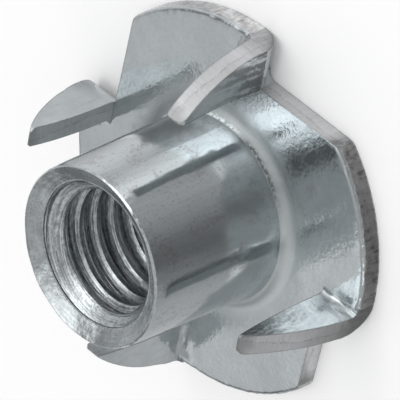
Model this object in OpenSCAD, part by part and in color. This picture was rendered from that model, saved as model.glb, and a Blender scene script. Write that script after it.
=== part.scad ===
// Four-prong tee nut for an M8 bolt, stamped and drawn from one disc of sheet steel.
// The back of the flange lies on the plane z = 0 and the barrel stands up along +Z.

/* [Flange] */
// Diameter across the round rim of the flange
flange_d = 22; // [19:0.5:30]
// Thickness of the sheet the nut is stamped from
sheet_t = 1.2; // [0.8:0.1:1.6]
// Radius worn by the blanking die on the front edge of the rim
rim_edge_r = 0.25; // [0.1:0.05:0.35]

/* [Prongs] */
// Number of prongs cut and folded out of the rim
prong_count = 4; // [3:1:4]
// Distance from the axis to the straight cut that frees each prong
cut_distance = 8.45; // [7.4:0.05:9.4]
// Inside radius of the fold at the root of a prong
fold_r = 0.4; // [0.2:0.05:0.8]
// Angle that a prong is folded up from the flange
fold_angle = 92; // [86:1:94]
// Radius of the slow curve that bends the prong back above its fold
prong_curve_r = 30; // [20:1:60]
// How far the fold draws a prong out beyond its cut length
prong_stretch = 0.35; // [0:0.05:0.8]
// Width left across the blunt point of a prong
tip_width = 0.1; // [0.05:0.05:0.8]
// Radius worn on both edges of the point, across the sheet
tip_edge_r = 0.3; // [0.1:0.05:0.4]
// Radius of the outer corner that each cut leaves on the flange
corner_r = 0.6; // [0.2:0.1:1]
// Radius of the inner corner where each cut ends
notch_r = 0.6; // [0.2:0.1:1.2]
// How far the sheet stays joined under the bend before that corner
web_reach = 0.9; // [0.2:0.1:1.4]
// Angle that each cut leans in toward the axis on its way out to the rim
cut_lean = 2; // [0:0.5:4]

/* [Barrel] */
// Height of the whole nut from the back of the flange to the mouth
nut_height = 10.5; // [7:0.1:16]
// Outside diameter of the barrel at its mouth
mouth_d = 10.2; // [9.6:0.1:11]
// Outside diameter of the barrel where it leaves the flange
root_d = 10.7; // [10.2:0.1:12]
// Height of the drawn collar above the flange, where the straight barrel starts
collar_h = 0.45; // [0.2:0.05:0.8]
// Radius of the hollow sweep from the collar out to the flange
collar_r = 0.9; // [0.8:0.05:1.4]
// Small radius on the outer edge of the mouth
mouth_edge_r = 0.12; // [0.05:0.01:0.2]

/* [Bore] */
// Major diameter of the thread
thread_d = 8; // [6:1:8]
// Pitch of the thread
thread_pitch = 1.25; // [1:0.05:1.25]
// How much wider than the thread the plain lead at each end is
lead_gap = 0.1; // [0.05:0.05:0.4]
// Diameter of the inner edge of the dished mouth
dish_d = 8.3; // [8.2:0.1:8.8]
// Depth of the dished mouth
dish_depth = 0.5; // [0.2:0.05:0.8]
// Length of the plain lead below the dished mouth
mouth_lead = 0.1; // [0.1:0.1:1.4]
// Length of the plain lead from the back of the flange
back_lead = 1.3; // [1:0.1:1.8]
// Draw radius on the back edge of the bore
draw_r = 0.9; // [0.5:0.1:1]

/* [Hidden] */
eps = 0.01;
// How far the wall of a prong runs down into its fold, so that the two are one piece.
seam_lap = 0.1;
fine = 96;

flange_r = flange_d / 2;
root_r = root_d / 2;
mouth_r = mouth_d / 2;
dish_r = dish_d / 2;
lead_r = (thread_d + lead_gap) / 2;

// Basic minor diameter of a metric thread: 5/4 of the sharp height comes off the major diameter.
minor_r = (thread_d - 1.0825 * thread_pitch) / 2;
// Each lead runs into the thread over a 45 degree bevel.
lead_bevel = lead_r - minor_r;
thread_bottom = back_lead + lead_bevel;
thread_top = nut_height - dish_depth - mouth_lead - lead_bevel;

// The fold turns about an axis above the flange; the sheet keeps its length a little inside its middle.
fold_z = sheet_t + fold_r;
fold_mid_r = fold_r + sheet_t / 2;
fold_length = fold_angle * PI / 180 * (fold_r + 0.45 * sheet_t);
// Length of the cut in the flat, which becomes the height of the prong once it is folded.
cut_length = sqrt(pow(flange_r, 2) - pow(cut_distance, 2));
// Height at which the rim's own circle is centred once it has been folded up with the prong.
outline_z = fold_z - fold_mid_r * cos(fold_angle) - fold_length + prong_stretch;
tip_z = outline_z + sqrt(pow(flange_r, 2) - pow(cut_distance + tip_width, 2));
// Centre of the slow curve above the fold, in Y and Z, and the turn from it up to the point.
curve_y = -(fold_mid_r + prong_curve_r) * sin(fold_angle);
curve_z = fold_z - (fold_mid_r + prong_curve_r) * cos(fold_angle);
tip_turn = asin((tip_z - tip_edge_r - curve_z) / prong_curve_r);

// A bent strip of sheet about the X axis, from angle a0 through a turn of a, and length long.
module bent_strip(r_in, r_out, length, a0, a) {
    rotate([0, 90, 0])
        rotate([0, 0, a0])
            rotate_extrude(angle = a, $fn = 4 * fine)
                translate([r_in, 0])
                    square([r_out - r_in, length]);
}

// The rim's circle, folded up with the sheet: it gives the prong its curved outer edge.
module prong_outline() {
    rotate([90, 0, 0])
        linear_extrude(2 * flange_r, center = true)
            intersection() {
                translate([0, outline_z])
                    circle(r = flange_r, $fn = 4 * fine);
                translate([cut_distance - 1, -eps])
                    square([flange_r, tip_z + eps]);
            }
}

// The wall's side view up to its blunt point, turned into a block that spans the prong's width.
module rounded_point() {
    edge = sheet_t / 2 - tip_edge_r;
    translate([0, curve_y, curve_z])
        rotate([90, 0, 90])
            linear_extrude(2 * flange_r)
                rotate(tip_turn) {
                    translate([prong_curve_r - 2 * sheet_t, -2 * flange_r])
                        square([4 * sheet_t, 2 * flange_r]);
                    translate([prong_curve_r - edge, -eps])
                        square([2 * edge, tip_edge_r + eps]);
                    for (side = [-1, 1])
                        translate([prong_curve_r + side * edge, 0])
                            circle(r = tip_edge_r, $fn = fine);
                }
}

// One prong in the place of the first: its fold lies along +X and it stands up on the -Y side.
module prong() {
    width = flange_r - cut_distance + 1;
    wall_turn = (cut_length + 1) / prong_curve_r * 180 / PI;
    lap_turn = seam_lap / prong_curve_r * 180 / PI;
    // the tight fold at the root
    intersection() {
        translate([cut_distance, 0, fold_z])
            bent_strip(fold_r, fold_r + sheet_t, width, -fold_angle, fold_angle);
        prong_outline();
    }
    // the long wall, which curves slowly back
    intersection() {
        translate([cut_distance, curve_y, curve_z])
            bent_strip(
                prong_curve_r - sheet_t / 2, prong_curve_r + sheet_t / 2,
                width, 180 - fold_angle - lap_turn, wall_turn + lap_turn
            );
        prong_outline();
        rounded_point();
    }
}

// What the cut and the fold of one prong leave open in the flange.
module prong_window() {
    across = [cos(cut_lean), -sin(cut_lean)];
    far = 2 * flange_r;
    // the corner's round meets the leaning cut, below the bend
    root = [cut_distance - web_reach * tan(cut_lean), -web_reach];
    notch = root + notch_r * [(1 - sin(cut_lean)) / cos(cut_lean), -1];
    difference() {
        polygon([
            [cut_distance, 0],
            [cut_distance - far * tan(cut_lean), -far],
            [far, -far],
            [far, 0]
        ]);
        // inner corner where the cut ends, with the web that stays under the bend
        difference() {
            polygon([
                [cut_distance, 0],
                [notch.x, -web_reach],
                notch,
                notch - notch_r * across
            ]);
            translate(notch)
                circle(r = notch_r, $fn = fine);
        }
    }
}

// The sliver taken off where the cut meets the rim, to leave a round corner.
module rim_corner() {
    across = [cos(cut_lean), -sin(cut_lean)];
    along = [-sin(cut_lean), -cos(cut_lean)];
    // distance of the leaning cut from the axis, and of the corner's centre along it
    offset = cut_distance * cos(cut_lean) - corner_r;
    reach = sqrt(pow(flange_r - corner_r, 2) - pow(offset, 2));
    // centre of the corner, and the point where it runs into the rim
    centre = offset * across + reach * along;
    on_rim = centre * flange_r / (flange_r - corner_r);
    difference() {
        polygon([
            centre,
            centre + (corner_r + eps) * across,
            centre + (corner_r + eps) * across + 2 * corner_r * along,
            on_rim + 2 * corner_r * along,
            on_rim
        ]);
        translate(centre)
            circle(r = corner_r, $fn = fine);
    }
}

module each_prong() {
    for (k = [0 : prong_count - 1])
        rotate(-k * 360 / prong_count)
            children();
}

module flange() {
    difference() {
        rotate_extrude($fn = 4 * fine)
            difference() {
                square([flange_r, sheet_t]);
                translate([flange_r - rim_edge_r, sheet_t - rim_edge_r])
                    difference() {
                        square(rim_edge_r + eps);
                        circle(r = rim_edge_r, $fn = fine);
                    }
            }
        translate([0, 0, -eps])
            linear_extrude(sheet_t + 2 * eps)
                each_prong() {
                    prong_window();
                    rim_corner();
                }
    }
}

// Half section of the barrel's outside, from the axis out.
module barrel_section() {
    polygon([
        [0, 0],
        [root_r, 0],
        [root_r, sheet_t + collar_h],
        [mouth_r, nut_height - mouth_edge_r],
        [mouth_r - mouth_edge_r, nut_height],
        [0, nut_height]
    ]);
    // hollow sweep from the collar out to the flange
    sweep = sqrt(pow(collar_r, 2) - pow(collar_r - collar_h, 2));
    difference() {
        translate([root_r - eps, 0])
            square([sweep + eps, sheet_t + collar_h]);
        translate([root_r + sweep, sheet_t + collar_r])
            circle(r = collar_r, $fn = fine);
    }
}

// Half section of everything taken out of the barrel.
module bore_section() {
    polygon([
        [0, -1],
        [lead_r, -1],
        [lead_r, back_lead],
        [minor_r, thread_bottom],
        [minor_r, thread_top],
        [lead_r, thread_top + lead_bevel],
        [lead_r, nut_height - dish_depth],
        [dish_r, nut_height - dish_depth],
        [mouth_r - mouth_edge_r, nut_height],
        [mouth_r - mouth_edge_r, nut_height + 1],
        [0, nut_height + 1]
    ]);
    // draw radius on the back edge
    difference() {
        translate([lead_r - eps, -1])
            square([draw_r + eps, draw_r + 1]);
        translate([lead_r + draw_r, draw_r])
            circle(r = draw_r, $fn = fine);
    }
}

module tee_nut() {
    color("silver")
        difference() {
            union() {
                flange();
                each_prong() prong();
                rotate_extrude($fn = 4 * fine)
                    barrel_section();
            }
            rotate_extrude($fn = 4 * fine)
                bore_section();
        }
}

tee_nut();
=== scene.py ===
import math

import bmesh
import bpy
from bpy.props import FloatProperty, FloatVectorProperty, IntProperty, PointerProperty
from bpy.types import Operator, Panel, PropertyGroup
from mathutils import Matrix, Vector, noise


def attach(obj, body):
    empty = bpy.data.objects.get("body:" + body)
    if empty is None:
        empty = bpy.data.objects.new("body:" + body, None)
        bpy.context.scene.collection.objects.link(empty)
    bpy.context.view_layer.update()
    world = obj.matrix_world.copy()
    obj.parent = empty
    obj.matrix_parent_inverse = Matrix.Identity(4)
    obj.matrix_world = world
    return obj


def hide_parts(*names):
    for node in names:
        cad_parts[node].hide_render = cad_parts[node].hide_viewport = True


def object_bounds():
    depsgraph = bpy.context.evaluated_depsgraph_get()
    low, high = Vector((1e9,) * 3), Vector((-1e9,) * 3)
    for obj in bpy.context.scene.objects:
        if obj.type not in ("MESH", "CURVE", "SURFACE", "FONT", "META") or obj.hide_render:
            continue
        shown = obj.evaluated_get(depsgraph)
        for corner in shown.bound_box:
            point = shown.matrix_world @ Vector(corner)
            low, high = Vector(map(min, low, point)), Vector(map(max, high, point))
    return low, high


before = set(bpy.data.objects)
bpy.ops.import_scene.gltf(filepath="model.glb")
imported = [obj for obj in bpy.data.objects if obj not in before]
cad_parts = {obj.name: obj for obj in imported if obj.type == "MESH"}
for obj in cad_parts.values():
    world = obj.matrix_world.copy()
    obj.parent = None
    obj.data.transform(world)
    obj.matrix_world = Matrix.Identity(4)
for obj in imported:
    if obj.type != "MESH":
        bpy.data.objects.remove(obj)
CAD_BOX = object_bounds()

bl_info = {
    "name": "Zinc Plated Tee Nut",
    "version": (1, 0, 0),
    "blender": (4, 5, 0),
    "location": "View3D > Sidebar > Tee Nut",
    "description": "Wears, threads and plates a stamped four-prong tee nut and sets its stage",
    "category": "Object",
}

MM = 0.001
MICRON = 0.001 * MM
NODE = "tee_nut"
PER_METRE = 1000.0  # millimetres
TURN = 2 * math.pi
GRAIN_MAP = "grain"


# ---------------------------------------------------------------- sizes and colours

class NutSizes(PropertyGroup):
    """Sizes of the bore, its leads and its thread"""
    thread_major: FloatProperty(
        name="Thread major diameter",
        description="Diameter across the bottoms of the thread grooves",
        default=8.0 * MM, min=0.0, unit="LENGTH", precision=5)
    thread_pitch: FloatProperty(
        name="Thread pitch", description="Distance along the axis from one turn to the next",
        default=1.25 * MM, min=0.0001, unit="LENGTH", precision=5)
    lead_diameter: FloatProperty(
        name="Lead diameter", description="Diameter of the plain lead at each end of the thread",
        default=8.1 * MM, min=0.0, unit="LENGTH", precision=5)
    back_lead: FloatProperty(
        name="Back lead",
        description="Height above the flange's back at which the lower lead ends",
        default=1.3 * MM, min=0.0, unit="LENGTH", precision=5)
    mouth_lead: FloatProperty(
        name="Mouth lead", description="Length of the plain lead below the dished mouth",
        default=0.1 * MM, min=0.0, unit="LENGTH", precision=5)
    dish_depth: FloatProperty(
        name="Dish depth", description="Depth of the dished mouth",
        default=0.5 * MM, min=0.0, unit="LENGTH", precision=5)
    around: IntProperty(
        name="Steps around", description="Steps in one turn of the thread", default=144, min=24)


class NutFinish(PropertyGroup):
    """Colours of the plated steel"""
    zinc: FloatVectorProperty(
        name="Zinc", description="Colour of the plating on the flats",
        subtype="COLOR", size=3, default=(0.595, 0.635, 0.65), min=0.0, max=1.0)
    drawn: FloatVectorProperty(
        name="Drawn zinc", description="Colour of the plating on the drawn barrel",
        subtype="COLOR", size=3, default=(0.605, 0.65, 0.67), min=0.0, max=1.0)
    smudge: FloatVectorProperty(
        name="Smudge", description="Colour of the die's smudges on the barrel",
        subtype="COLOR", size=3, default=(0.40, 0.37, 0.38), min=0.0, max=1.0)
    sheared: FloatVectorProperty(
        name="Sheared steel", description="Colour of the torn part of a cut edge",
        subtype="COLOR", size=3, default=(0.52, 0.515, 0.515), min=0.0, max=1.0)
    burnished: FloatVectorProperty(
        name="Burnished edge", description="Colour of the smooth part of a cut edge",
        subtype="COLOR", size=3, default=(0.66, 0.668, 0.678), min=0.0, max=1.0)
    # painted light: the cut edge that faces the barrel is made paler so that it reflects brighter
    # in the barrel
    painted_light_inner_cut: FloatVectorProperty(
        name="Inner cut", description="Colour of the cut edge that faces the barrel",
        subtype="COLOR", size=3, default=(0.80, 0.83, 0.83), min=0.0, max=1.0)
    groove: FloatVectorProperty(
        name="Thread groove", description="Colour deep in the thread",
        subtype="COLOR", size=3, default=(0.26, 0.275, 0.28), min=0.0, max=1.0)


class NutStudio(PropertyGroup):
    """Camera, floor and light"""
    floor: FloatVectorProperty(
        name="Floor", description="Colour of the floor",
        subtype="COLOR", size=3, default=(0.91, 0.91, 0.91), min=0.0, max=1.0)
    surround: FloatProperty(
        name="Surround", description="Brightness of the pale surround", default=0.85, min=0.0)
    key_power: FloatProperty(
        name="Key power", description="Power of the key softbox",
        default=0.06, min=0.0, unit="POWER")
    top_power: FloatProperty(
        name="Top power", description="Power of the softbox overhead",
        default=0.295, min=0.0, unit="POWER")
    focal: FloatProperty(
        name="Focal length", description="Focal length of the camera in millimetres",
        default=328.95, min=1.0)


# ---------------------------------------------------------------- shader arithmetic

class Value:
    """A number in a material: arithmetic on it adds the Math nodes."""

    def __init__(self, book, socket):
        self.book = book
        self.socket = socket

    def _math(self, operation, *others, clamp=False):
        values = dict(enumerate((self,) + others))
        return self.book.node(
            "ShaderNodeMath", {"operation": operation, "use_clamp": clamp}, values)

    def _flipped(self, operation, other):
        return self.book.node("ShaderNodeMath", {"operation": operation}, {0: other, 1: self})

    def __add__(self, other):
        return self._math("ADD", other)

    def __mul__(self, other):
        return self._math("MULTIPLY", other)

    def __sub__(self, other):
        return self._math("SUBTRACT", other)

    def __truediv__(self, other):
        return self._math("DIVIDE", other)

    def __pow__(self, other):
        return self._math("POWER", other)

    def __abs__(self):
        return self._math("ABSOLUTE")

    def __radd__(self, other):
        return self._flipped("ADD", other)

    def __rmul__(self, other):
        return self._flipped("MULTIPLY", other)

    def __rsub__(self, other):
        return self._flipped("SUBTRACT", other)

    def __rtruediv__(self, other):
        return self._flipped("DIVIDE", other)

    def __rpow__(self, other):
        return self._flipped("POWER", other)

    def clamped(self):
        return self._math("ADD", 0.0, clamp=True)

    def ramp(self, low, high):
        """0 below low, 1 above high, and straight between."""
        return self.book.node(
            "ShaderNodeMapRange", {"clamp": True}, {0: self, 1: low, 2: high, 3: 0.0, 4: 1.0})


class Book:
    """Writes the nodes of one material or world."""

    def __init__(self, owner):
        owner.use_nodes = True
        self.owner = owner
        self.tree = owner.node_tree
        self.tree.nodes.clear()

    def node(self, kind, settings=None, values=None, output=0):
        made = self.tree.nodes.new(kind)
        for name, setting in (settings or {}).items():
            if name == "stops":
                self._stops(made.color_ramp, setting)
            else:
                setattr(made, name, setting)
        for name, value in (values or {}).items():
            socket = made.inputs[name]
            if isinstance(value, Value):
                self.tree.links.new(value.socket, socket)
            else:
                socket.default_value = value
        if not made.outputs:
            return made
        return Value(self, made.outputs[output])

    @staticmethod
    def _stops(ramp, stops):
        while len(ramp.elements) < len(stops):
            ramp.elements.new(1.0)
        for element, (position, colour) in zip(ramp.elements, stops):
            element.position = position
            element.color = colour

    def split(self, vector):
        """The three numbers of a vector."""
        parts = self.node("ShaderNodeSeparateXYZ", {}, {0: vector}).socket.node
        return [Value(self, socket) for socket in parts.outputs]

    def joined(self, x, y, z):
        """A vector of three numbers."""
        return self.node("ShaderNodeCombineXYZ", {}, {0: x, 1: y, 2: z})

    def scaled(self, vector, x, y, z):
        return self.node(
            "ShaderNodeVectorMath", {"operation": "MULTIPLY"}, {0: vector, 1: (x, y, z)})

    def blend(self, factor, first, second):
        """A colour between two colours."""
        return self.node(
            "ShaderNodeMix", {"data_type": "RGBA", "blend_type": "MIX", "clamp_factor": True},
            {0: factor, 6: first, 7: second}, output=2)

    def layered(self, colour, *layers):
        """A colour under layers, each a share and the colour that it turns toward."""
        for share, over in layers:
            colour = self.blend(share, colour, over)
        return colour

    def noise(self, vector, scale, detail, roughness=0.55, distortion=0.0):
        return self.node(
            "ShaderNodeTexNoise", {"noise_dimensions": "3D"},
            {"Vector": vector, "Scale": scale, "Detail": detail, "Roughness": roughness,
             "Distortion": distortion})

    def object_place(self):
        """Object coordinates in metres."""
        return self.node("ShaderNodeTexCoord", output=3)

    def object_mm(self):
        """Object coordinates in millimetres."""
        return self.scaled(self.object_place(), PER_METRE, PER_METRE, PER_METRE)

    def grain_mm(self):
        """Millimetres along and across the grain of the surface."""
        grain = self.node("ShaderNodeUVMap", {"uv_map": GRAIN_MAP})
        return self.scaled(grain, PER_METRE, PER_METRE, PER_METRE)

    def rounded(self, radius):
        """The surface's normal, with its edges rounded to a radius."""
        return self.node("ShaderNodeBevel", {"samples": 4}, {"Radius": radius})

    def edge_share(self, radius):
        """How far the surface within a radius bends away: 0 on a flat, more beside an edge."""
        bare = self.node("ShaderNodeNewGeometry", output=1)
        return 1.0 - self.node(
            "ShaderNodeVectorMath", {"operation": "DOT_PRODUCT"},
            {0: self.rounded(radius), 1: bare}, output=1)

    def bumped(self, height, distance, strength, normal):
        return self.node("ShaderNodeBump", {}, {
            "Strength": strength, "Distance": distance, "Height": height, "Normal": normal})

    def finish(self, colour, roughness, normal):
        """Ends a metal's nodes and returns the material."""
        shader = self.node("ShaderNodeBsdfPrincipled", {}, {
            "Base Color": colour, "Roughness": roughness, "Metallic": 1.0, "Normal": normal})
        return self.plain(shader)

    def plain(self, shader):
        """Puts a shader on the material's surface and returns the material."""
        self.node("ShaderNodeOutputMaterial", {}, {"Surface": shader})
        return self.owner


def new_book(name):
    return Book(bpy.data.materials.new(name))


def grey(value):
    return (value, value, value, 1.0)


def shade(colour, share=1.0):
    """A colour made darker or lighter by a share."""
    return (*[min(channel * share, 1.0) for channel in colour], 1.0)


def from_axis(x, y):
    """How far a place is from the barrel's axis."""
    return (x * x + y * y) ** 0.5


# ---------------------------------------------------------------- finishes

# how much of an edge_share still counts as flat, and how much is all edge
SOFT_EDGE = (0.015, 0.10)
CRISP_EDGE = (0.02, 0.12)


def zinc_on_flats(look):
    """Plating over rolled sheet: bright and speckled, satin and finely ringed round the collar,
    with painted light and shade round the collar and painted shade along edges.
    """
    book = new_book("zinc_on_flats")
    place = book.object_mm()
    x, y, _ = book.split(place)
    radius = from_axis(x, y)
    clouds = book.noise(place, 0.5, 3.0)
    grain = book.noise(place, 4.5, 2.0, 0.5)
    fine = book.noise(place, 12.0, 2.0, 0.6)
    rings = book.noise(book.joined(radius * 6.0, x * 0.4, y * 0.4), 1.0, 3.0, 0.6)
    edge = book.edge_share(0.14 * MM).ramp(*SOFT_EDGE)
    satin = 1.0 - (radius + (grain - 0.5) * 1.1 + (clouds - 0.5) * 1.2).ramp(6.3, 7.3)
    # painted light on the sweep round the barrel toward -X -Y and painted shade elsewhere, where
    # the sweep is also rougher; the sweep round the barrel is brighter toward -X -Y and dull
    # elsewhere, cause unknown
    shaded_side = ((x + y) / radius).ramp(-0.9, -0.1)
    # the rings darken a little all round, and more on the shaded side as painted shade
    ringed = satin * (rings.ramp(0.4, 0.65) * 0.6 + 0.4) * (shaded_side * 0.35 + 0.15)
    sweep = (1.0 - (radius + (rings - 0.5) * 0.6).ramp(5.9, 6.5)) * shaded_side
    bright = (1.0 - radius.ramp(6.0, 7.0)) * (1.0 - shaded_side)
    # the crinkled ridge where the sweep leaves the barrel: a painted highlight toward +X +Y, and
    # dotted painted shade beside it
    inside = (radius + (fine - 0.5) * 0.1).ramp(5.35, 5.38)
    ridge = inside * (1.0 - (radius + (fine - 0.5) * 0.3).ramp(5.42, 5.50))
    lit = (x + y).ramp(3.0, 5.0)
    ridge_shade = (x + y).ramp(-2.5, 0.5) * (1.0 - lit)
    colour = book.layered(
        book.blend(clouds.ramp(0.35, 0.65), shade(look.zinc, 0.93), shade(look.zinc, 1.04)),
        ((grain * 0.5 + fine * 0.5).ramp(0.45, 0.65) * 0.4, shade(look.zinc, 0.8)),
        (ringed, shade(look.zinc, 0.64)),
        (sweep * 0.5, shade(look.zinc, 0.5)),
        (bright * 0.7, shade(look.zinc, 1.4)),
        # painted shade along edges
        (edge * (grain.ramp(0.35, 0.6) * 0.6 + 0.2), shade(look.zinc, 0.4)),
        (ridge * lit * grain.ramp(0.38, 0.5) * 0.8, shade(look.zinc, 1.45)),
        (ridge * ridge_shade * grain.ramp(0.46, 0.52) * 0.85, shade(look.zinc, 0.2)))
    roughness = 0.08 + clouds * 0.05 + satin * 0.28 + sweep * 0.1
    normal = book.bumped(clouds, 0.05 * MM, 0.5, book.rounded(0.1 * MM))
    relief = grain + fine * 0.15 + rings * satin * 0.5
    return book.finish(colour, roughness, book.bumped(relief, 0.012 * MM, 0.9, normal))


def zinc_on_prongs(look):
    """Prong walls: streaked and lightly scuffed along their length, with painted shade near the
    root, round the bend, at one point and along edges.
    """
    book = new_book("zinc_on_prongs")
    place = book.object_mm()
    x, y, z = book.split(place)
    clouds = book.noise(place, 0.6, 3.0)
    streaks = book.noise(book.scaled(place, 2.4, 2.4, 0.4), 1.0, 4.0, 0.6, 0.5)
    grain = book.noise(place, 5.0, 2.0, 0.5)
    edge = book.edge_share(0.12 * MM).ramp(*CRISP_EDGE)
    # painted shade low on the prong toward +X, broken into scuffs, and at the point of the one
    # toward -Y
    root = (1.0 - z.ramp(1.6, 6.0)) * x.ramp(5.0, 8.5)
    point = (z + (clouds - 0.5) * 1.5).ramp(5.0, 6.4) * (0.0 - y).ramp(5.0, 8.5)
    scuff_and_root_shade = (streaks + (grain - 0.5) * 0.3 + root * 0.14).ramp(0.52, 0.64) * (0.08 + root * 0.92)
    # painted shade round the bend, where the wall is also rougher
    shaded_bend = 1.0 - (z + (grain - 0.5) * 0.8).ramp(1.7, 2.4)
    colour = book.layered(
        book.blend(clouds.ramp(0.35, 0.65), shade(look.zinc, 0.93), shade(look.zinc, 1.06)),
        (shaded_bend * 0.3, shade(look.zinc, 0.6)),
        (scuff_and_root_shade * 0.9, shade(look.zinc, 0.26)),
        (point * 0.75, shade(look.zinc, 0.3)),
        # painted shade along edges
        (edge * (grain.ramp(0.35, 0.6) * 0.6 + 0.2), shade(look.zinc, 0.4)))
    roughness = 0.13 + clouds * 0.06 + scuff_and_root_shade * 0.12 + shaded_bend * 0.15
    normal = book.bumped(clouds, 0.07 * MM, 0.8, book.rounded(0.1 * MM))
    relief = streaks * 0.35 + grain * 0.25
    return book.finish(colour, roughness, book.bumped(relief, 0.010 * MM, 0.7, normal))


def zinc_on_barrel(look):
    """Plating where the die has drawn the steel: clouded, smudged, lined along the barrel."""
    book = new_book("zinc_on_barrel")
    place = book.object_mm()
    grain = book.grain_mm()
    lines = book.noise(book.scaled(grain, 3.0, 0.16, 1.0), 1.6, 4.0, 0.6)
    swell = book.noise(book.scaled(grain, 0.8, 0.3, 1.0), 0.9, 2.0, 0.5)
    clouds = book.noise(place, 0.7, 5.0, 0.6, 0.6)
    pits = book.noise(place, 7.0, 3.0, 0.55)
    smudge = (clouds + (pits - 0.5) * 0.5).ramp(0.54, 0.7)
    colour = book.layered(
        shade(look.drawn),
        (lines.ramp(0.4, 0.7) * 0.35, shade(look.drawn, 0.82)),
        (smudge * 0.55, shade(look.smudge)),
        (pits.ramp(0.56, 0.72) * 0.4, shade(look.drawn, 0.5)))
    roughness = 0.09 + lines * 0.04 + pits * 0.03 + smudge * 0.08
    normal = book.bumped(swell, 0.05 * MM, 0.6, book.rounded(0.08 * MM))
    relief = lines * 0.5 + pits * 0.5
    return book.finish(colour, roughness, book.bumped(relief, 0.006 * MM, 0.6, normal))


def zinc_on_cuts(look, name, colour, rough):
    """Cut edges: burnished and pale above the shear line, broken below it, with painted shade at
    the point, round the fold and along edges.
    """
    book = new_book(name)
    grain = book.grain_mm()
    x, y, z = book.split(book.object_mm())
    _, across, _ = book.split(grain)
    lines = book.noise(book.scaled(grain, 5.0, 0.5, 1.0), 1.5, 4.0, 0.6)
    clouds = book.noise(book.scaled(grain, 0.5, 0.9, 1.0), 1.0, 3.0, 0.6)
    specks = book.noise(grain, 6.0, 3.0, 0.6)
    edge = book.edge_share(0.13 * MM).ramp(*CRISP_EDGE)
    # painted shade at the point
    tip = (z + (clouds - 0.5) * 1.5).ramp(6.7, 7.3)
    # the shear line wanders between the burnished and the broken part of the cut
    wandering = across + (clouds - 0.5) * 0.7
    shear = (1.0 - abs(wandering - 0.72) / (0.05 + lines * 0.06)).clamped()
    # painted shade on the outer skin where it goes round the fold
    shaded_bend = from_axis(x, y).ramp(10.3, 10.7) * (1.0 - (z + (clouds - 0.5) * 1.5).ramp(1.5, 2.8))
    skin = book.layered(
        shade(colour, 0.97),
        (clouds.ramp(0.35, 0.7) * 0.5, shade(colour, 0.84)),
        (lines.ramp(0.48, 0.66) * 0.4, shade(colour, 0.66)),
        (shear * specks.ramp(0.4, 0.55) * 0.55, shade(colour, 0.4)),
        (wandering.ramp(0.7, 0.8) * 0.25, shade(colour, 0.72)),
        (tip * 0.6, shade(colour, 0.45)),
        (shaded_bend * (lines.ramp(0.4, 0.6) * 0.3 + 0.5), shade(colour, 0.4)),
        # painted shade along edges
        (edge * (specks.ramp(0.4, 0.6) * 0.6 + 0.3), shade(look.sheared, 0.5)))
    normal = book.bumped(lines * 0.7 + clouds, 0.02 * MM, 0.7, book.rounded(0.12 * MM))
    return book.finish(skin, rough + clouds * 0.08, normal)


def steel_on_rim(look):
    """The blanked rim: burnished skin, torn to darker steel in blotches and short strokes."""
    book = new_book("steel_on_rim")
    grain = book.grain_mm()
    x, y, _ = book.split(book.object_mm())
    streaks = book.noise(book.scaled(grain, 3.5, 0.8, 1.0), 1.2, 4.0, 0.6)
    patches = book.noise(book.scaled(grain, 0.8, 1.1, 1.0), 1.2, 4.0, 0.65)
    edge = book.edge_share(0.12 * MM).ramp(*CRISP_EDGE)
    # the darker patches gather toward +X -Y
    side = (x - y).ramp(4.0, 11.0)
    torn = (patches * 0.8 + streaks * 0.35 + side * 0.12).ramp(0.57, 0.68)
    deep = (patches * 0.6 + streaks * 0.5).ramp(0.56, 0.66) * side
    colour = book.layered(
        shade(look.burnished, 1.12),
        (streaks.ramp(0.35, 0.7) * 0.4, shade(look.burnished, 0.86)),
        (torn * 0.8, shade(look.sheared)),
        (deep * 0.75, shade(look.sheared, 0.36)),
        # painted shade along edges
        (edge * (1.0 - deep) * 0.5, shade(look.burnished, 0.9)))
    normal = book.bumped(streaks * 0.6 + patches, 0.05 * MM, 0.9, book.rounded(0.12 * MM))
    return book.finish(colour, 0.3 + torn * 0.2, normal)


def zinc_in_mouth(look):
    """Dished mouth and lead, pressed and lightly scored round, with painted shade along its edges.
    """
    book = new_book("zinc_in_mouth")
    place = book.object_mm()
    rings = book.noise(book.scaled(book.grain_mm(), 0.12, 6.5, 1.0), 1.5, 3.0)
    pits = book.noise(place, 6.0, 4.0, 0.65)
    clouds = book.noise(place, 0.9, 3.0)
    edge = book.edge_share(0.12 * MM).ramp(*SOFT_EDGE)
    colour = book.layered(
        book.blend(clouds.ramp(0.38, 0.62), shade(look.zinc, 0.82), shade(look.zinc, 1.06)),
        (rings.ramp(0.4, 0.65) * 0.4, shade(look.zinc, 0.66)),
        (pits.ramp(0.52, 0.68) * 0.4, shade(look.zinc, 0.45)),
        # painted shade along edges
        (edge * (pits.ramp(0.4, 0.55) * 0.6 + 0.25), shade(look.zinc, 0.32)))
    normal = book.bumped(clouds, 0.12 * MM, 0.8, book.rounded(0.06 * MM))
    relief = rings + pits * 0.7
    return book.finish(colour, 0.2 + pits * 0.14, book.bumped(relief, 0.018 * MM, 0.8, normal))


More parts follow.
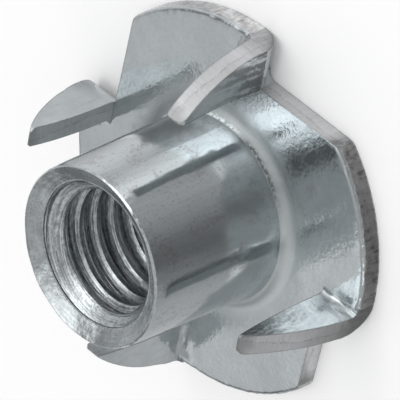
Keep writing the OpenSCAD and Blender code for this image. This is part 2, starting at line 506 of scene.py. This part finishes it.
def zinc_in_thread(look):
    """Tapped thread: tool lines along the turns, dark and bright, with torn specks."""
    book = new_book("zinc_in_thread")
    grain = book.grain_mm()
    lines = book.noise(book.scaled(grain, 0.1, 9.0, 1.0), 1.5, 3.0, 0.6)
    specks = book.noise(book.scaled(grain, 1.5, 7.0, 1.0), 1.6, 4.0, 0.65)
    pits = book.noise(book.object_mm(), 8.0, 4.0, 0.65)
    colour = book.layered(
        shade(look.groove, 1.1),
        (lines.ramp(0.38, 0.6), shade(look.zinc, 1.2)),
        (specks.ramp(0.53, 0.62) * 0.5, shade(look.groove, 0.55)),
        ((1.0 - specks.ramp(0.38, 0.45)) * 0.55, shade(look.zinc, 1.5)),
        (pits.ramp(0.53, 0.66) * 0.4, shade(look.groove, 0.4)))
    relief = lines + specks * 0.5 + pits * 0.2
    normal = book.bumped(relief, 0.03 * MM, 0.9, book.rounded(0.03 * MM))
    return book.finish(colour, 0.22 + pits * 0.15, normal)


# ---------------------------------------------------------------- shell of the nut

FLAT, BARREL, CUT, MOUTH, RIM, PRONG, INNER_CUT = range(7)

# where the parts of the shell lie, in millimetres from the axis or from the flange's back
COLLAR_TOP = 1.66
BARREL_REACH = 5.6
SWEEP_REACH = 6.3
SHEET_TOP = 1.25
FOLD_TOP = 1.3
POINT_FROM = 6.5
RIM_FROM = 10.85
PRONG_FROM = 8.3
PRONG_SIDES = (-2.2, 0.001)
WALL_START = -0.4
BARREL_MIDDLE = 5.2
RIM_MIDDLE = 11


def polar(point):
    return math.hypot(point.x, point.y), math.atan2(point.y, point.x)


def turn_of(point, centre):
    """The angle of a point round the axis, kept whole across the face that has that centre."""
    turn = polar(centre)[1]
    local = Matrix.Rotation(-turn, 3, "Z") @ point
    return math.atan2(local.y, local.x) + turn


def into_quarter(vector, quarter):
    return Matrix.Rotation(quarter * TURN / 4, 3, "Z") @ vector


def prong_at(centre):
    """The quarter whose prong or fold a place belongs to, or None."""
    for quarter in range(4):
        local = into_quarter(centre, quarter)
        if local.x > PRONG_FROM * MM and PRONG_SIDES[0] * MM < local.y < PRONG_SIDES[1] * MM:
            return quarter
    return None


def face_kind(centre, normal):
    """Which finish a face of the shell takes."""
    radius = polar(centre)[0]
    facing_out = (normal.x * centre.x + normal.y * centre.y) / max(radius, 1e-9)
    if radius < BARREL_REACH * MM and centre.z > COLLAR_TOP * MM:
        return BARREL if facing_out > 0.5 else MOUTH
    if radius < SWEEP_REACH * MM:
        return MOUTH if facing_out < -0.3 else FLAT
    quarter = prong_at(centre)
    if quarter is not None:
        turned = into_quarter(normal, quarter)
        on_edge = abs(turned.y) < 0.12 and abs(turned.z) < 0.999
        on_point = centre.z > POINT_FROM * MM and abs(turned.y) < 0.2
        if on_edge or on_point:
            return INNER_CUT if turned.x < -0.6 else CUT
        return PRONG if centre.z > FOLD_TOP * MM else FLAT
    if abs(normal.z) > 0.3:
        return FLAT
    return RIM if radius > RIM_FROM * MM else CUT


def grain_of(point, kind, centre, normal):
    """A point's place along the edge or round the barrel, then across it, at true size."""
    if kind in (BARREL, MOUTH):
        return (turn_of(point, centre) * BARREL_MIDDLE * MM, point.z)
    if kind == RIM:
        return (turn_of(point, centre) * RIM_MIDDLE * MM, point.z)
    if kind in (CUT, INNER_CUT):
        if centre.z < SHEET_TOP * MM and abs(normal.z) < 0.4:
            along = Vector((-normal.y, normal.x, 0.0)).normalized()
            return (point.dot(along), point.z)
        quarter = prong_at(centre)
        if quarter is not None:
            place = into_quarter(point, quarter)
            return (place.z - place.x, -place.y + WALL_START * MM)
    return (point.x, point.y)


def split_long_edges(work, longest):
    """Halves the edges of triangles until none is longer than that."""
    while True:
        too_long = [edge for edge in work.edges if edge.calc_length() > longest]
        if not too_long:
            return
        bmesh.ops.subdivide_edges(work, edges=too_long, cuts=1, use_grid_fill=True)
        bmesh.ops.triangulate(work, faces=[face for face in work.faces if len(face.verts) > 3])


# how far wear moves the surface, in millimetres
SWELL = 0.012
PUCKER = 0.16
PUCKER_SPREAD = 0.20
CREASE = 0.09
NICK = 0.03
LIP_LOSS = 0.03
LIP_SPREAD = 0.035
LIP_RIPPLE = 0.014
# over which heights the wear sets in, so that the back stays flat
WEAR_STARTS = (0.2, 0.7)


def bell(distance, width):
    return math.exp(-(distance / width) ** 2)


def climb(value, low, high):
    """0 below low, 1 above high, and eased between."""
    share = min(max((value - low) / (high - low), 0.0), 1.0)
    return share * share * (3 - 2 * share)


def wear(place):
    """How far the worn surface stands off its true shape at a place, both in millimetres."""
    radius = polar(place)[0]
    if place.z < WEAR_STARTS[0]:
        return 0.0
    depth = SWELL * noise.noise(place * 0.45)
    # the sheet puckers where each prong folds, most toward the rim
    if radius > 7.6 and place.z < 3.8:
        for quarter in range(4):
            local = into_quarter(place, quarter)
            if local.x > 7.6 and abs(local.y) < 1.8:
                outer = climb(local.x, 8.2, 10.2)
                fold = outer * bell(local.y + 0.05, 0.45) * bell(place.z - 1.6, 0.8)
                pucker = noise.noise(place * 1.1 + Vector((quarter * 7.3, 0, 3.1)))
                fluted = Vector((local.x * 1.4 + quarter * 5, local.y * 5, place.z * 5))
                crease = noise.noise(fluted)
                depth += fold * (PUCKER + PUCKER_SPREAD * pucker + CREASE * crease)
    # the rim is nicked
    if radius > 10.4 and place.z < 8:
        depth -= NICK * climb(radius, 10.5, 10.9) * (0.5 + noise.noise(place * 2.6))
    # the lip of the mouth is uneven
    if radius < 5.7 and place.z > 9.4:
        uneven = LIP_SPREAD * noise.noise(place * 0.9) + LIP_RIPPLE * noise.noise(place * 3.2)
        depth += climb(place.z, 9.5, 10.4) * (uneven - LIP_LOSS)
    return depth * climb(place.z, *WEAR_STARTS)


def weathered(work, kept):
    """Moves each point by its wear, inside the CAD box, and turns the kept normals with it."""
    step = 0.02
    offsets = [Vector(offset) for offset in ((step, 0, 0), (0, step, 0), (0, 0, step))]
    slopes = {}
    for vert in work.verts:
        place = vert.co * PER_METRE
        depth = wear(place)
        slopes[vert.index] = Vector([(wear(place + offset) - depth) / step for offset in offsets])
        vert.co = vert.co + vert.normal * depth * MM
        reach = polar(vert.co)[0] / CAD_BOX[1].x
        if reach > 1:
            vert.co.x, vert.co.y = vert.co.x / reach, vert.co.y / reach
        vert.co.z = min(max(vert.co.z, CAD_BOX[0].z), CAD_BOX[1].z)
    for face in work.faces:
        for loop in face.loops:
            normal = loop[kept].normalized()
            slope = slopes[loop.vert.index]
            loop[kept] = (normal - (slope - slope.dot(normal) * normal)).normalized()


def mesh_from(work, name):
    mesh = bpy.data.meshes.new(name)
    work.to_mesh(mesh)
    work.free()
    return mesh


def in_order(work):
    """Sorts points, then faces, by place, since some operators leave them in no fixed order."""
    def by_place(parts, place_of):
        def key(part):
            place = place_of(part)
            return [round(number / MICRON) for number in place], tuple(place)

        ranks = {part: rank for rank, part in enumerate(sorted(parts, key=key))}
        parts.sort(key=ranks.get)
        parts.ensure_lookup_table()

    by_place(work.verts, lambda vert: vert.co)
    by_place(work.faces, lambda face: face.calc_center_median())


def bore_span(sizes):
    """The heights between which the thread lies, and the radius of its leads."""
    high = CAD_BOX[1].z - sizes.dish_depth - sizes.mouth_lead
    return sizes.back_lead, high, sizes.lead_diameter / 2


def shell_mesh(sizes):
    """The stamped nut as packed, with its true surface normals, opened where the thread goes."""
    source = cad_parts[NODE].data
    low, high, lead = bore_span(sizes)
    slack = 0.004 * MM
    work = bmesh.new()
    work.from_mesh(source)
    kept = work.loops.layers.float_vector.new("true_normal")
    corners = [Vector(corner.vector) for corner in source.corner_normals]
    for face in work.faces:
        for loop in face.loops:
            loop[kept] = corners[loop.index]
    bmesh.ops.remove_doubles(work, verts=work.verts, dist=0.002 * MM)
    bored = [
        face for face in work.faces
        if all(polar(vert.co)[0] < lead + slack and low - slack < vert.co.z < high + slack
               for vert in face.verts)]
    bmesh.ops.delete(work, geom=bored, context="FACES")
    split_long_edges(work, 0.4 * MM)
    work.normal_update()
    work.verts.index_update()
    grain = work.loops.layers.uv.new(GRAIN_MAP)
    for face in work.faces:
        face.smooth = True
        centre = face.calc_center_median()
        normal = face.normal.copy()
        face.material_index = face_kind(centre, normal)
        for loop in face.loops:
            loop[grain].uv = grain_of(loop.vert.co, face.material_index, centre, normal)
    weathered(work, kept)
    normals = [loop[kept].normalized() for face in work.faces for loop in face.loops]
    work.loops.layers.float_vector.remove(kept)
    mesh = mesh_from(work, "tee_nut_shell")
    mesh.normals_split_custom_set([tuple(normal) for normal in normals])
    return mesh


# ---------------------------------------------------------------- thread

# the thread's depth as a share of its pitch, and its flank's slope, as metric threads have them
DEPTH_SHARE = 0.54127
FLANK_SLOPE = math.tan(math.radians(30))
# shares of the flank at which its profile has a point, up to the rounded corner of the groove
FLANK_SHARES = (0.06, 0.3, 0.6, 0.9)


def thread_profile(minor, major, pitch):
    """One pitch of the profile as height and radius, from mid crest to the next mid crest."""
    depth = major - minor
    flank = depth * FLANK_SLOPE
    crest = pitch / 4
    rise = [(0.30 * crest, minor), (0.46 * crest, minor + 0.004 * MM)]
    rise += [(0.5 * crest + share * flank, minor + share * depth) for share in FLANK_SHARES]
    rise += [(0.5 * crest + 1.02 * flank, major - 0.01 * MM)]
    fall = [(pitch - z, radius) for z, radius in reversed(rise)]
    return [(0.0, minor), *rise, (0.5 * pitch, major), *fall, (pitch, minor)]


def thread_mesh(sizes):
    """A right-handed metric thread cut into the bore, with its runout in the leads."""
    low, high, lead = bore_span(sizes)
    major = sizes.thread_major / 2
    pitch = sizes.thread_pitch
    turns = math.ceil((high - low) / pitch) + 2
    work = bmesh.new()
    profile = thread_profile(major - DEPTH_SHARE * pitch, major, pitch)
    points = [work.verts.new((radius, 0.0, low - pitch + z)) for z, radius in profile]
    edges = [work.edges.new(pair) for pair in zip(points, points[1:])]
    bmesh.ops.spin(
        work, geom=points + edges, cent=(0, 0, 0), axis=(0, 0, 1),
        dvec=(0, 0, pitch / sizes.around), angle=TURN * turns, steps=sizes.around * turns,
        use_merge=False, use_duplicate=False)
    bmesh.ops.remove_doubles(work, verts=work.verts, dist=0.002 * MM)
    for level, below in ((low, True), (high, False)):
        bmesh.ops.bisect_plane(
            work, geom=work.verts[:] + work.edges[:] + work.faces[:], dist=0.0001 * MM,
            plane_co=(0, 0, level), plane_no=(0, 0, 1), clear_inner=below, clear_outer=not below)
    # the plain leads bevel the first and last turns away
    for vert in work.verts:
        radius, turn = polar(vert.co)
        opened = max(radius, lead - (vert.co.z - low), lead - (high - vert.co.z))
        opened = min(opened, lead)
        vert.co.x, vert.co.y = opened * math.cos(turn), opened * math.sin(turn)
    bmesh.ops.remove_doubles(work, verts=work.verts, dist=0.001 * MM)
    bmesh.ops.recalc_face_normals(work, faces=work.faces)
    in_order(work)
    middle = work.faces[len(work.faces) // 2]
    centre = middle.calc_center_median()
    if middle.normal.x * centre.x + middle.normal.y * centre.y > 0:
        bmesh.ops.reverse_faces(work, faces=work.faces)
    grain = work.loops.layers.uv.new(GRAIN_MAP)
    for face in work.faces:
        face.smooth = True
        centre = face.calc_center_median()
        for loop in face.loops:
            angle = turn_of(loop.vert.co, centre)
            loop[grain].uv = (angle * major, loop.vert.co.z - pitch * angle / TURN)
    return mesh_from(work, "tee_nut_thread")


# ---------------------------------------------------------------- pieces

def placed(name, data):
    """A new object in the scene."""
    thing = bpy.data.objects.new(name, data)
    bpy.context.scene.collection.objects.link(thing)
    return thing


def add_piece(name, mesh, materials):
    piece = placed(name, mesh)
    for material in materials:
        mesh.materials.append(material)
    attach(piece, "root")
    return piece


class MakeShell(Operator):
    """Copies the stamped nut, wears it and plates each face"""
    bl_idname = "tee_nut.make_shell"
    bl_label = "Make Shell"

    def execute(self, context):
        look = context.scene.nut_finish
        mesh = shell_mesh(context.scene.nut_sizes)
        # in the order of the kinds of face
        finishes = [
            zinc_on_flats(look),
            zinc_on_barrel(look),
            zinc_on_cuts(look, "zinc_on_cuts", look.burnished, 0.32),
            zinc_in_mouth(look),
            steel_on_rim(look),
            zinc_on_prongs(look),
            # painted light: a paler copy of the cut finish on the cut edges that face the barrel
            zinc_on_cuts(look, "zinc_on_inner_cuts", look.painted_light_inner_cut, 0.5),
        ]
        shell = add_piece("tee_nut_shell", mesh, finishes)
        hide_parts(NODE)
        return {"FINISHED"}


class MakeThread(Operator):
    """Cuts the thread into the bore"""
    bl_idname = "tee_nut.make_thread"
    bl_label = "Make Thread"

    def execute(self, context):
        mesh = thread_mesh(context.scene.nut_sizes)
        add_piece("tee_nut_thread", mesh, [zinc_in_thread(context.scene.nut_finish)])
        return {"FINISHED"}


# ---------------------------------------------------------------- stage

# the camera: where it looks from and at, and how it is rolled
AZIMUTH = math.radians(-42.472)
ELEVATION = math.radians(38.853)
ROLL = math.radians(-113.123)
TARGET = Vector((2.103, -1.270, 4.0)) * MM
DISTANCE = 193.147 * MM

NUT_MIDDLE = Vector((0, 0, 4 * MM))
FLOOR_REACH = 1.5
FLOOR_GAP = 0.01 * MM
TABLE_CARD = (11.02 * MM, 68 * MM)
TABLE_CARD_HEIGHT = 0.03 * MM
STUDIO_REACH = 0.25


def toward(azimuth, elevation):
    """The direction with that azimuth and elevation, in radians."""
    return Vector((
        math.cos(elevation) * math.cos(azimuth),
        math.cos(elevation) * math.sin(azimuth),
        math.sin(elevation)))


def make_camera(studio):
    back = toward(AZIMUTH, ELEVATION)
    level = Vector((0, 0, 1)).cross(back).normalized()
    rise = back.cross(level)
    across = level * math.cos(ROLL) + rise * math.sin(ROLL)
    up = rise * math.cos(ROLL) - level * math.sin(ROLL)
    data = bpy.data.cameras.new("camera")
    data.sensor_width = 36.0
    data.lens = studio.focal
    data.clip_start = 0.005
    data.clip_end = 20.0
    camera = placed("camera", data)
    turned = Matrix((across, up, back)).transposed().to_4x4()
    camera.matrix_world = Matrix.Translation(TARGET + back * DISTANCE) @ turned
    bpy.context.scene.camera = camera


def make_floor(studio):
    work = bmesh.new()
    bmesh.ops.create_grid(work, x_segments=1, y_segments=1, size=FLOOR_REACH)
    bmesh.ops.translate(work, verts=work.verts, vec=(0, 0, CAD_BOX[0].z - FLOOR_GAP))
    mesh = mesh_from(work, "floor")
    floor = placed("floor", mesh)
    book = new_book("pale_floor")
    matt = book.node("ShaderNodeBsdfDiffuse", {}, {"Color": shade(studio.floor)})
    mesh.materials.append(book.plain(matt))


def make_lamp(name, azimuth, elevation, distance, size, power):
    """A softbox that lights the floor; the metal sees the graded cards in its place."""
    data = bpy.data.lights.new(name, "AREA")
    data.shape = "RECTANGLE"
    data.size, data.size_y = size
    data.energy = power
    lamp = placed(name, data)
    place = toward(math.radians(azimuth), math.radians(elevation)) * distance
    aimed = (NUT_MIDDLE - place).to_track_quat("-Z", "Y").to_matrix().to_4x4()
    lamp.matrix_world = Matrix.Translation(place) @ aimed
    lamp.visible_glossy = False


# What the metal sees round the nut, by compass direction in degrees, where +X is 0:
# on the table outside the rim, across the studio at three heights, and overhead.
TABLE_TONES = (
    (-180, 0.56), (-165, 0.54), (-145, 0.51), (-125, 0.48), (-115, 0.42), (-105, 0.33),
    (-92, 0.23), (-75, 0.15), (-65, 0.17), (-55, 0.21), (-45, 0.29), (-35, 0.35), (-25, 0.41),
    (-14, 0.44), (-9, 0.40), (-4, 0.50), (0, 1.12), (12, 0.97), (22, 0.68), (31, 0.54),
    (42, 0.76), (55, 0.85), (68, 0.74), (84, 0.50), (110, 0.85), (150, 0.55), (180, 0.56),
)
HORIZON_TONES = (
    (-180, 0.20), (-160, 0.25), (-125, 0.50), (-70, 0.42), (-45, 0.40), (-15, 0.60), (10, 1.0),
    (30, 1.15), (50, 0.95), (80, 0.60), (115, 0.55), (140, 0.22), (180, 0.20),
)
STUDIO_TONES = (
    (-180, 0.52), (-150, 0.51), (-125, 0.50), (-115, 0.50), (-113, 2.6), (-107, 2.6),
    (-105, 0.48), (-85, 0.50), (-73, 0.45), (-65, 0.30), (-56, 0.27), (-45, 0.36), (-35, 0.49),
    (-25, 0.56), (-14, 0.70), (-8, 1.0), (-3, 0.8), (3, 0.8), (7, 2.4), (20, 2.4), (32, 1.75),
    (43, 1.15), (52, 0.62), (62, 0.36), (74, 0.28), (92, 0.32), (106, 0.50), (120, 0.66),
    (150, 0.66), (180, 0.52),
)
UPPER_TONES = (
    (-180, 0.73), (-160, 0.67), (-145, 0.60), (-120, 0.55), (-80, 0.56), (-64, 0.54),
    (-54, 0.44), (-46, 0.2), (-40, 0.08), (-33, 0.08), (-27, 0.2), (-20, 0.48), (-13, 1.05),
    (-6, 1.8), (2, 2.4), (14, 2.5), (28, 2.4), (38, 2.1), (46, 1.7), (56, 1.3), (66, 1.08),
    (74, 0.76), (84, 0.28), (94, 0.08), (104, 0.40), (118, 0.52), (130, 0.66), (148, 0.80),
    (165, 0.80), (180, 0.73),
)
OVERHEAD_TONES = (
    (-180, 0.46), (-140, 0.46), (-60, 0.65), (-10, 0.9), (10, 1.4), (25, 1.95), (58, 1.95),
    (76, 0.9), (110, 0.5), (180, 0.46),
)


def arc(low, high):
    """The side profile of a card that wraps the studio from one height in degrees to another."""
    heights = range(low, high + 1, 4)
    return [toward(0, math.radians(height)) * STUDIO_REACH for height in heights]


CARDS = (
    ("table_card", [(reach, 0, TABLE_CARD_HEIGHT) for reach in TABLE_CARD], TABLE_TONES),
    ("horizon_card", arc(4, 28), HORIZON_TONES),
    ("studio_card", arc(28, 40), STUDIO_TONES),
    ("upper_card", arc(40, 52), UPPER_TONES),
    ("overhead_card", arc(52, 84), OVERHEAD_TONES),
)


def make_graded_card(name, profile, tones):
    """A card turned round the nut from its side profile, graded by direction."""
    work = bmesh.new()
    points = [work.verts.new(point) for point in profile]
    edges = [work.edges.new(pair) for pair in zip(points, points[1:])]
    bmesh.ops.spin(
        work, geom=points + edges, cent=(0, 0, 0), axis=(0, 0, 1), angle=TURN, steps=96,
        use_merge=True, use_duplicate=False)
    mesh = mesh_from(work, name)
    card = placed(name, mesh)
    card.visible_camera = False
    card.visible_diffuse = False
    card.visible_shadow = False
    card.visible_transmission = False
    book = new_book(name)
    x, y, _ = book.split(book.object_place())
    share = book.node("ShaderNodeMath", {"operation": "ARCTAN2"}, {0: y, 1: x}) / TURN + 0.5
    stops = [((direction + 180) / 360, grey(tone)) for direction, tone in tones]
    graded = book.node("ShaderNodeValToRGB", {"stops": stops}, {0: share})
    glow = book.node("ShaderNodeEmission", {}, {"Color": graded, "Strength": 1.0})
    mesh.materials.append(book.plain(glow))


def make_surround(studio):
    world = bpy.data.worlds.new("surround")
    bpy.context.scene.world = world
    book = Book(world)
    glow = book.node(
        "ShaderNodeBackground", {}, {"Color": grey(1.0), "Strength": studio.surround})
    book.node("ShaderNodeOutputWorld", {}, {"Surface": glow})


class SetStage(Operator):
    """Sets the floor, surround, cards, lamps and camera"""
    bl_idname = "tee_nut.set_stage"
    bl_label = "Set Stage"

    def execute(self, context):
        studio = context.scene.nut_studio
        make_floor(studio)
        make_surround(studio)
        for name, profile, tones in CARDS:
            make_graded_card(name, profile, tones)
        make_lamp(
            "key_softbox", azimuth=27, elevation=36, distance=0.30, size=(0.10, 0.16),
            power=studio.key_power)
        make_lamp(
            "top_softbox", azimuth=-42, elevation=84, distance=0.35, size=(0.22, 0.22),
            power=studio.top_power)
        make_camera(studio)
        context.scene.view_settings.view_transform = "Standard"
        return {"FINISHED"}


class NutPanel(Panel):
    """Lists the steps that make the tee nut"""
    bl_idname = "VIEW3D_PT_tee_nut"
    bl_label = "Tee Nut"
    bl_space_type = "VIEW_3D"
    bl_region_type = "UI"
    bl_category = "Tee Nut"

    def draw(self, context):
        layout = self.layout
        for name in GROUPS:
            group = getattr(context.scene, name)
            box = layout.box()
            for setting in type(group).__annotations__:
                box.prop(group, setting)
        for step in STEPS:
            layout.operator(step.bl_idname)


STEPS = (MakeShell, MakeThread, SetStage)
GROUPS = {"nut_sizes": NutSizes, "nut_finish": NutFinish, "nut_studio": NutStudio}


def register():
    for cls in (*GROUPS.values(), *STEPS, NutPanel):
        bpy.utils.register_class(cls)
    for name, group in GROUPS.items():
        setattr(bpy.types.Scene, name, PointerProperty(type=group))


def unregister():
    for name in GROUPS:
        delattr(bpy.types.Scene, name)
    for cls in (NutPanel, *reversed(STEPS), *GROUPS.values()):
        bpy.utils.unregister_class(cls)


def main():
    register()
    bpy.ops.tee_nut.make_shell()
    bpy.ops.tee_nut.make_thread()
    bpy.ops.tee_nut.set_stage()


if __name__ == "__main__":
    main()
